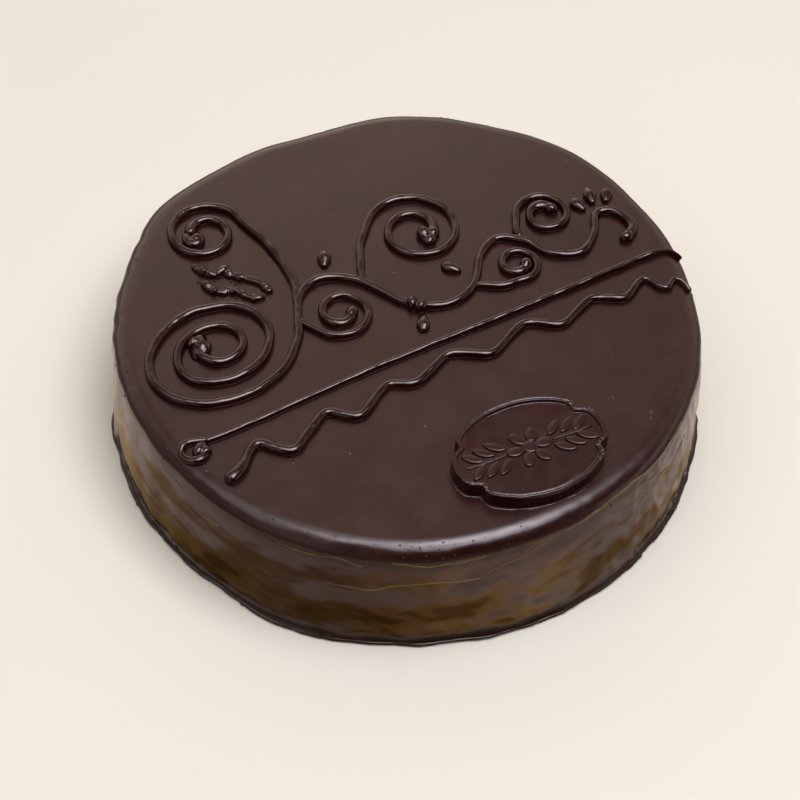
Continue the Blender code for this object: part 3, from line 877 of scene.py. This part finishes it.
def build_vine():
    soup = Strokes()
    radii = (SCROLL_OUTER, SCROLL_INNER)
    large = spiral(SCROLL_CENTRE, radii, SCROLL_TURNS, SCROLL_BEARING, -1, SCROLL_FLATNESS, SCROLL_TILT)
    stem = smooth_through([*SCROLL_TAIL, *large[::-1], *STEM_BENDS])
    widths = ((0, 1.2), (0.008, 1.12), (0.03, 1.05), (0.15, 1.08), (0.3, 1.0), (-0.02, 1.0), (-0.004, 1.3), (0.9, 1.2))
    soup.bead(stem, widths, 141, 1.15)
    for number, branch in enumerate(BRANCHES.values()):
        curl = spiral(branch["centre"], branch["radii"], branch["turns"], branch["bearing"], branch["sense"])
        route = smooth_through(list(branch["lead"]) + curl)
        widths = ((0, 0.80), (0.007, 0.97), (0.04, 0.97), (-0.012, 1.02), (-0.004, 1.3), (0.4, 1.25))
        soup.bead(route, widths, 161 + 8 * number, 1.15)
    soup.laid("vine_piping", "piped_chocolate", ("piped_vine", *BRANCHES))


def build_lumps():
    """Where the bag was lifted: a curled lump, a heart-shaped one and smaller drops on the beads."""
    soup = Strokes()
    inner = SCROLL_TAIL[0]
    soup.blob((inner[0] + 0.0004, inner[1] - 0.0006), (0.0048, 0.0037, 0.0031), 0.9, 0.30, 5, 0.14, 4)
    soup.blob((inner[0] - 0.0016, inner[1] + 0.0016), (0.0026, 0.0018, 0.0024), 0.4, 0.75, 8, 0.12)
    upper = BRANCHES["piped_scroll_upper"]
    spot = spiral(upper["centre"], upper["radii"], upper["turns"], upper["bearing"], upper["sense"])[-1]
    curled_end(soup, (spot[0] + 0.0002, spot[1] - 0.0018), math.radians(100), 1, 0.0031, 301)
    soup.blob((spot[0] + 0.0010, spot[1] - 0.0022), (0.0028, 0.0024, 0.0024), 0.4, 0.45, 12, 0.05)
    top = BRANCHES["piped_scroll_top"]
    spot = spiral(top["centre"], top["radii"], top["turns"], top["bearing"], top["sense"])[-1]
    soup.blob((spot[0] - 0.0012, spot[1] + 0.0016), (0.0036, 0.0028, 0.0031), 1.2, 0.30, 13, 0.05)
    soup.blob((spot[0] + 0.0022, spot[1] + 0.0004), (0.0030, 0.0027, 0.0029), 0.3, 0.30, 14, 0.05)
    soup.blob((spot[0] - 0.0006, spot[1] - 0.0022), (0.0026, 0.0024, 0.0026), 0.1, 0.34, 15, 0.05)
    soup.blob((0.0022, 0.0012), (0.0030, 0.0024, 0.0031), 0.9, 0.35, 16, 0.06)
    soup.blob((0.0046, -0.0016), (0.0026, 0.0020, 0.0029), 0.5, 0.40, 17, 0.06)
    for number, name in enumerate(("piped_scroll_lower", "piped_scroll_middle", "piped_scroll_right")):
        branch = BRANCHES[name]
        curl = spiral(branch["centre"], branch["radii"], branch["turns"], branch["bearing"], branch["sense"])
        turn = math.atan2(curl[-1][1] - curl[-2][1], curl[-1][0] - curl[-2][0])
        soup.blob(curl[-1], (0.0030, 0.0025, 0.0027), turn, 0.40, 21 + number, 0.05)
    tip = STEM_BENDS[-1]
    soup.blob(tip, (0.0031, 0.0026, 0.0026), 0.2, 0.40, 7, 0.05)
    soup.melted("piping_lumps")


def build_ruffles():
    """Uneven strokes: a thread with lumps run into one another along it."""
    for number, (name, route) in enumerate(RUFFLES.items()):
        soup = Strokes()
        path = even_steps(smooth_through(route), 0.0011)
        soup.bead(path, ((0, 0.9), (0.5, 0.9)), 211 + 9 * number, 0.85, 0.0002, 2)
        draw = np.random.default_rng(83 + number)
        step = 0
        while step < len(path) - 1:
            spot, ahead = path[step], path[step + 1] - path[step]
            turn = math.atan2(ahead.y, ahead.x)
            size = draw.uniform(0.0011, 0.0020)
            aside = Vector((-ahead.y, ahead.x)).normalized() * draw.uniform(-0.0006, 0.0006)
            shape = (size * draw.uniform(1.1, 2.1), size, size * draw.uniform(0.95, 1.15))
            soup.blob(spot + aside, shape, turn + draw.uniform(-0.5, 0.5), 0.4, 31 + step, 0.08)
            step += int(draw.integers(2, 6))
        for crumb in range(5):
            spot = path[int(draw.integers(1, len(path)))] + Vector((draw.normal() * 0.0016, -0.0022))
            soup.blob(spot, (0.0006, 0.0005, 0.0005), 0.0, 0.4, 61 + crumb, 0.1, 2)
        soup.melted(name.replace("piped_", "") + "_stroke", (name,), smoothing=6)


def build_side_runs():
    """Thin raised runs in the glaze of the side, and bubbles and crumbs set in its skin."""
    runs = Strokes(side_place)
    for number, run in enumerate(SIDE_RUNS):
        path = [Vector((math.radians(bearing) * BASE_RADIUS, height)) for bearing, height in run]
        wide = 0.36 if number < 4 else 0.42
        length = sum((there - here).length for here, there in zip(path, path[1:]))
        swell = ((0, 0.12), (length * 0.3, wide), (length * 0.6, wide * 0.6), (length * 0.8, wide), (1.0, 0.12))
        runs.bead(smooth_through(path), swell, 401 + 7 * number, 0.10, 0.0003, 6)
    # painted reflection: the runs are coloured golden
    runs.laid("glaze_runs", "chocolate_glaze", material=RUN_PAINTED_REFLECTION)
    specks = Strokes(side_place)
    draw = np.random.default_rng(91)
    for number in range(150):
        bearing = draw.normal(-92, 24) if number < 110 else draw.uniform(-180, 180)
        height = CAKE_HEIGHT - abs(draw.normal(0.0010, 0.0026)) - 0.0002
        size = 0.00016 + 0.00030 * draw.uniform() ** 2
        spot = (math.radians(bearing) * BASE_RADIUS, height)
        specks.blob(spot, (size, size, size * 0.8), 0.0, 0.25, number, 0.1, 2)
    for number in range(36):
        middle = (-27, -141, -30, 120)[number % 4]
        bearing = draw.normal(middle, 9)
        height = draw.uniform(0.0008, 0.0060)
        size = draw.uniform(0.0004, 0.0009)
        spot = (math.radians(bearing) * BASE_RADIUS, height)
        specks.blob(spot, (size, size * 0.8, size * 0.6), 0.0, -0.1, 200 + number, 0.2, 2)
    specks.laid("glaze_bubbles", "chocolate_glaze", material=GLAZE)


def build_leaves():
    soup = Strokes()
    for number, (along, across, bearing, length) in enumerate(LEAVES):
        turn = math.radians(bearing)
        ahead = Vector((math.cos(turn), math.sin(turn))) * length / 6
        path = [Vector((along, across)) + ahead * index for index in range(7)]
        widths = ((0, 0.55), (0.0015, 0.85), (0.0042, 1.5), (0.0058, 1.55), (0.0078, 0.9), (0.009, 0.4))
        soup.bead(path, widths, 261 + 5 * number, 0.9, ease=2)
    names = [f"piped_leaf_{number}" for number in range(1, len(LEAVES) + 1)]
    return soup.laid("leaf_drops", "piped_chocolate", names)


# ---------------------------------------------------------------- plaque

PLAQUE_TURNS = 480


def plaque_radius(bearing):
    notch = sum(
        np.exp(-((((bearing - middle + 180) % 360 - 180) / PLAQUE_NOTCH_SPREAD) ** 2))
        for middle in PLAQUE_NOTCH_BEARINGS
    )
    turn = np.radians(bearing)
    size = 1 - PLAQUE_NOTCH_DEPTH * notch
    return size * PLAQUE_HALF_LENGTH * np.cos(turn), size * PLAQUE_HALF_WIDTH * np.sin(turn)


def on_plaque(u, v, rise):
    """A place of the plaque, from its own axes and the height over the glaze."""
    c, s = math.cos(PLAQUE_TURN), math.sin(PLAQUE_TURN)
    x = u * c - v * s + PLAQUE_CENTRE[0] + LAYOUT_SHIFT.x
    y = u * s + v * c + PLAQUE_CENTRE[1] + LAYOUT_SHIFT.y
    return x, y, CAKE_HEIGHT + rise


def raised_shape(soup, spot, size, turn, pointed, rise, level):
    """A petal, leaf or stem standing on the plaque's field, with steep sides and a softly domed top."""
    count = 40
    first = len(soup.points)
    c, s = math.cos(turn), math.sin(turn)
    rows = ((1.0, -0.0002), (1.0, 0.12), (0.97, 0.5), (0.90, 0.82), (0.78, 0.95), (0.55, 1.0), (0.25, 1.04))
    for scale, part in rows:
        lift = level + (rise * part if part > 0 else part)
        for step in range(count):
            angle = 2 * math.pi * step / count
            a = math.cos(angle)
            b = math.copysign(abs(math.sin(angle)) ** (1.5 if pointed else 1.0), math.sin(angle))
            a, b = a * (size[0] - (1 - scale) * size[1]), b * size[1] * scale
            soup.points.append(on_plaque(spot[0] + a * c - b * s, spot[1] + a * s + b * c, lift))
    for row in range(len(rows) - 1):
        for step in range(count):
            ahead = (step + 1) % count
            a, b = first + row * count + step, first + row * count + ahead
            soup.faces.append((a, b, b + count, a + count))
    last = first + (len(rows) - 1) * count
    soup.faces.append(tuple(last + step for step in range(count)))
    soup.faces.append(tuple(first + step for step in reversed(range(count))))


def build_relief():
    """A rosette between two leafy sprigs on their stems."""
    soup = Strokes()
    level = PLAQUE_TOP - CAKE_HEIGHT - FIELD_DEPTH
    for number in range(PETAL_COUNT):
        turn = 2 * math.pi * number / PETAL_COUNT
        spot = (PETAL_OFFSET * math.cos(turn), PETAL_OFFSET * math.sin(turn))
        raised_shape(soup, spot, PETAL_SIZE, turn, False, RELIEF_HEIGHT, level)
    heart = (ROSETTE_RADIUS, ROSETTE_RADIUS)
    raised_shape(soup, (0.0, 0.0), heart, 0.0, False, RELIEF_HEIGHT * 1.2, level)
    for way in (-1, 1):
        begin = PETAL_OFFSET + PETAL_SIZE[0]
        reach = SPRIG_START + SPRIG_PITCH * (SPRIG_LEAF_COUNT - 0.2)
        half = (reach - begin) / 2
        raised_shape(soup, (way * (begin + half), 0.0), (half, 0.0006), 0.0, False, RELIEF_HEIGHT * 0.7, level)
        for number in range(SPRIG_LEAF_COUNT):
            along = way * (SPRIG_START + SPRIG_PITCH * number)
            for side in (-1, 1):
                spread = side * SPRIG_SPREAD * (1 - number / (2 * SPRIG_LEAF_COUNT))
                turn = way * side * SPRIG_LEAF_TURN
                raised_shape(soup, (along, spread), SPRIG_LEAF_SIZE, turn, True, RELIEF_HEIGHT, level)
    soup.laid("plaque_relief", "moulded_chocolate", material=MOULDED)


def build_chips():
    """Tiny chips where the plaque's brim broke a little on leaving its mould; their pale colour is painted glints
    (painted highlights).
    """
    soup = Strokes()
    draw = np.random.default_rng(97)
    thickness = PLAQUE_TOP - CAKE_HEIGHT
    for number in range(110):
        bearing = draw.normal((208, 268, 332, 30)[number % 4], (6, 26, 7, 8)[number % 4])
        u, v = (float(value) for value in plaque_radius(bearing))
        inset = draw.uniform(0.0002, 0.0016)
        reach = 1 - inset / math.hypot(u, v)
        place = Vector(on_plaque(u * reach, v * reach, thickness - 0.00005))
        size = draw.uniform(0.00009, 0.00026)
        shape = bmesh.new()
        bmesh.ops.create_icosphere(shape, subdivisions=1, radius=size)
        first = len(soup.points)
        soup.points.extend(place + vertex.co * float(draw.uniform(0.6, 1.3)) for vertex in shape.verts)
        soup.faces.extend(tuple(first + vertex.index for vertex in face.verts) for face in shape.faces)
        shape.free()
    # chips coloured pale as painted glints
    soup.laid("plaque_chips_painted_glints", "moulded_chocolate", material=CHIPPED_PAINTED_GLINT)


def build_plaque():
    bearing = 360 * np.arange(PLAQUE_TURNS) / PLAQUE_TURNS
    edge_u, edge_v = plaque_radius(bearing)
    reach = np.hypot(edge_u, edge_v)
    thickness = PLAQUE_TOP - CAKE_HEIGHT
    rows = []
    uneven = wave_field(71, 0.006)
    fine = wave_field(73, 0.0022)
    ring = np.stack([edge_u, edge_v, np.zeros_like(edge_u)], axis=-1)
    ragged = 0.00008 * uneven(ring) + 0.00003 * fine(ring)
    # the wall, from its foot in the glaze up to the rounded brim
    rows.append((-0.0010 + 0 * ragged, -0.0003 + 0 * ragged))
    for turn in np.radians(np.linspace(0, 80, 9)):
        fillet = 0.0009 + 2.5 * ragged
        rows.append((-fillet * (1 - math.sin(turn)), fillet * (1 - math.cos(turn))))
    for part in (0.42, 0.58, 0.75):
        rows.append((0.0001 * part + ragged * 0.8, thickness * part + 0 * ragged))
    brim = 0.00045
    for turn in np.radians((0, 22, 45, 67, 90)):
        rows.append((0.0002 + brim * (1 - math.cos(turn)) + ragged, thickness - brim * (1 - math.sin(turn)) + ragged * 0.4))
    for inset, drop in (
        (0.0009, 0.00002),
        (0.00105, 0.00014),
        (0.00120, 0.00018),
        (0.00135, 0.00012),
        (0.00150, 0.00002),
        (0.00175, 0.0),
        (0.00195, 0.00006),
        (0.00210, 0.00045),
        (0.00225, 0.00090),
        (0.00245, FIELD_DEPTH),
        (0.00270, FIELD_DEPTH),
    ):
        rows.append((inset + ragged * 0.6, thickness - drop + ragged * 0.4))
    points = []
    for inset, rise in rows:
        scale = 1 - inset / reach
        u, v = edge_u * scale, edge_v * scale
        points.append(np.stack([u, v, CAKE_HEIGHT + rise], axis=-1))
    inner = 1 - (0.0027 + ragged * 0.6) / reach
    floor = CAKE_HEIGHT + thickness - FIELD_DEPTH
    for part in np.linspace(1, 0.02, 40)[1:]:
        u, v = edge_u * inner * part, edge_v * inner * part
        flat = np.stack([u, v, np.zeros_like(u)], axis=-1)
        level = floor + 0.00004 * wave_field(77, 0.009)(flat)
        points.append(np.stack([u, v, level], axis=-1))
    grid = np.concatenate(points)
    centre = len(grid)
    grid = np.concatenate([grid, [[0, 0, floor]]])
    x, y, z = on_plaque(grid[:, 0], grid[:, 1], grid[:, 2] - CAKE_HEIGHT)
    faces = []
    for row in range(len(points) - 1):
        for step in range(PLAQUE_TURNS):
            ahead = (step + 1) % PLAQUE_TURNS
            a, b = row * PLAQUE_TURNS + step, row * PLAQUE_TURNS + ahead
            faces.append((a, b, b + PLAQUE_TURNS, a + PLAQUE_TURNS))
    last = (len(points) - 1) * PLAQUE_TURNS
    for step in range(PLAQUE_TURNS):
        faces.append((last + step, last + (step + 1) % PLAQUE_TURNS, centre))
    faces.append(tuple(reversed(range(PLAQUE_TURNS))))
    return new_piece(
        "plaque_moulding",
        np.stack([x, y, z], axis=-1),
        faces,
        MOULDED,
        ("moulded_plaque",),
    )


# ---------------------------------------------------------------- studio

FLOOR_COLOUR = (0.334, 0.295, 0.224)
LAMP_COLOUR = (1.0, 1.065, 1.285)


def build_floor():
    mesh = bpy.data.meshes.new("studio_floor")
    half = 4.0
    mesh.from_pydata([(-half, -half, 0), (half, -half, 0), (half, half, 0), (-half, half, 0)], [], [(0, 1, 2, 3)])
    floor = bpy.data.objects.new("studio_floor", mesh)
    bpy.context.scene.collection.objects.link(floor)
    material = bpy.data.materials.new("pale_paper")
    material.use_nodes = True
    shader = material.node_tree.nodes["Principled BSDF"]
    build = Nodes(material.node_tree)
    place = build.add("ShaderNodeTexCoord").outputs["Object"]
    paper = build.noise(place, 12, 2)
    pale = tuple(value * 1.004 for value in FLOOR_COLOUR)
    build.link(build.blend(build.ramp(paper, 0.3, 0.7, 0.0, 1.0), FLOOR_COLOUR, pale), shader.inputs["Base Color"])
    shader.inputs["Roughness"].default_value = 0.9
    shader.inputs["Specular IOR Level"].default_value = 0.0
    mesh.materials.append(material)
    floor.visible_glossy = False


def build_world():
    """Soft studio: a lit wall behind, a dark camera side, and warm light from below that only gloss picks up."""
    world = bpy.data.worlds.new("studio")
    bpy.context.scene.world = world
    world.use_nodes = True
    tree = world.node_tree
    build = Nodes(tree)
    back = tree.nodes["Background"]
    way = build.add("ShaderNodeSeparateXYZ")
    place = build.add("ShaderNodeTexCoord").outputs["Generated"]
    build.link(place, way.inputs[0])
    behind = build.ramp(way.outputs["Y"], -0.10, 0.50, 0.0, 1.0)
    high = build.ramp(way.outputs["Z"], 0.675, 0.770, 2.30, 1.02)
    left = build.ramp(way.outputs["X"], -0.02, 0.15, 1.03, 0.46)
    far_left = build.ramp(way.outputs["X"], -0.50, -0.14, 0.70, 1.0)
    rear = build.math("MULTIPLY", high, build.math("MULTIPLY", left, far_left))
    front = build.ramp(way.outputs["X"], -0.45, -0.02, 0.80, 0.03)
    dimmer = build.ramp(way.outputs["X"], -0.95, -0.50, 0.55, 1.0)
    level_with = build.ramp(way.outputs["Z"], 0.10, 0.42, 1.0, 0.0)
    right = build.math("MULTIPLY", build.ramp(way.outputs["X"], 0.84, 0.95, 0.0, 1.8), level_with)
    sides = build.math("ADD", build.math("MULTIPLY", front, dimmer), right)
    rest = build.math("MULTIPLY", sides, build.math("SUBTRACT", 1.0, behind))
    strength = build.math("ADD", build.math("MULTIPLY", rear, behind), rest)
    tone = build.blend(behind, (1.0, 1.04, 1.15), (1.0, 0.884, 0.816))
    # below the horizon: pale at a slant, golden brown steeply down and brightest at the front right
    steep = build.ramp(way.outputs["Z"], -0.80, -0.70, 1.0, 0.0)
    deep = build.ramp(way.outputs["Z"], -0.87, -0.82, 0.25, 1.0)
    patches = build.ramp(build.noise(place, 17, 4, 0.65), 0.36, 0.68, 0.75, 1.6)
    to_right = build.ramp(way.outputs["X"], -0.30, 0.35, 0.0, 2.0)
    to_front = build.ramp(way.outputs["Y"], -0.30, -0.05, 1.0, 0.0)
    gold = build.math("ADD", 0.65, build.math("MULTIPLY", to_right, to_front))
    gold = build.math("MULTIPLY", gold, build.math("MULTIPLY", patches, deep))
    low_level = build.math("ADD", 1.0, build.math("MULTIPLY", build.math("SUBTRACT", gold, 1.0), steep))
    near = build.ramp(way.outputs["Z"], -0.64, -0.42, 1.0, 0.40)
    low_level = build.math("MULTIPLY", low_level, near)
    low_tone = build.blend(steep, (0.98, 0.83, 0.75), (0.50, 0.29, 0.09))
    below = build.math("LESS_THAN", way.outputs["Z"], 0.0)
    tone = build.blend(below, tone, low_tone)
    over = build.math("MULTIPLY", strength, build.math("SUBTRACT", 1.0, below))
    strength = build.math("ADD", over, build.math("MULTIPLY", low_level, below))
    seen = build.add("ShaderNodeLightPath").outputs["Is Camera Ray"]
    glow = build.blend(seen, tone, (0.888, 0.799, 0.694))
    level = build.math("ADD", build.math("MULTIPLY", strength, build.math("SUBTRACT", 1.0, seen)), seen)
    build.link(glow, back.inputs["Color"])
    build.link(level, back.inputs["Strength"])


def add_lamp(name, place, aim, size, radiance, colour):
    data = bpy.data.lights.new(name, "AREA")
    data.shape = "RECTANGLE"
    data.size, data.size_y = size
    data.energy = radiance * math.pi * size[0] * size[1]
    data.color = colour
    lamp = bpy.data.objects.new(name, data)
    bpy.context.scene.collection.objects.link(lamp)
    lamp.location = place
    lamp.rotation_euler = (Vector(aim) - Vector(place)).to_track_quat("-Z", "Y").to_euler()
    return lamp


def build_camera():
    """Camera as in the product picture: steep, slightly rolled, with a long lens."""
    elevation, roll, distance = math.radians(49.786), math.radians(2.556), 0.8498
    target = Vector((-0.0016, 0.0008, 0.0)) + LAYOUT_SHIFT
    ahead = Vector((0, math.cos(elevation), -math.sin(elevation)))
    upward = Vector((0, math.sin(elevation), math.cos(elevation)))
    right = Vector((1, 0, 0))
    across = math.cos(roll) * right + math.sin(roll) * upward
    over = -math.sin(roll) * right + math.cos(roll) * upward
    data = bpy.data.cameras.new("camera")
    data.sensor_width = 36
    data.lens = 101.388
    camera = bpy.data.objects.new("camera", data)
    place = Matrix((across, over, -ahead)).transposed().to_4x4()
    place.translation = target - ahead * distance
    camera.matrix_world = place
    bpy.context.scene.collection.objects.link(camera)
    bpy.context.scene.camera = camera


build_body()
build_rule()
build_wave()
build_vine()
build_lumps()
build_ruffles()
build_leaves()
build_side_runs()
build_plaque()
build_relief()
build_chips()
build_floor()
build_world()
add_lamp("key_softbox", (0.40, -0.42, 1.90), (0.0, 0.0, 0.0), (1.35, 1.55), 7.6, LAMP_COLOUR)
add_lamp("key_core", (0.55, -0.15, 1.88), (0.0, 0.0, 0.0), (0.70, 0.80), 9.0, LAMP_COLOUR)
add_lamp("key_halo", (0.38, -0.12, 1.95), (0.0, 0.0, 0.0), (1.70, 1.80), 2.7, LAMP_COLOUR)
add_lamp("left_softbox", (-0.98, -0.40, 1.90), (0.0, 0.0, 0.0), (1.1, 1.5), 2.25, LAMP_COLOUR)
build_camera()
bpy.context.scene.view_settings.view_transform = "Standard"
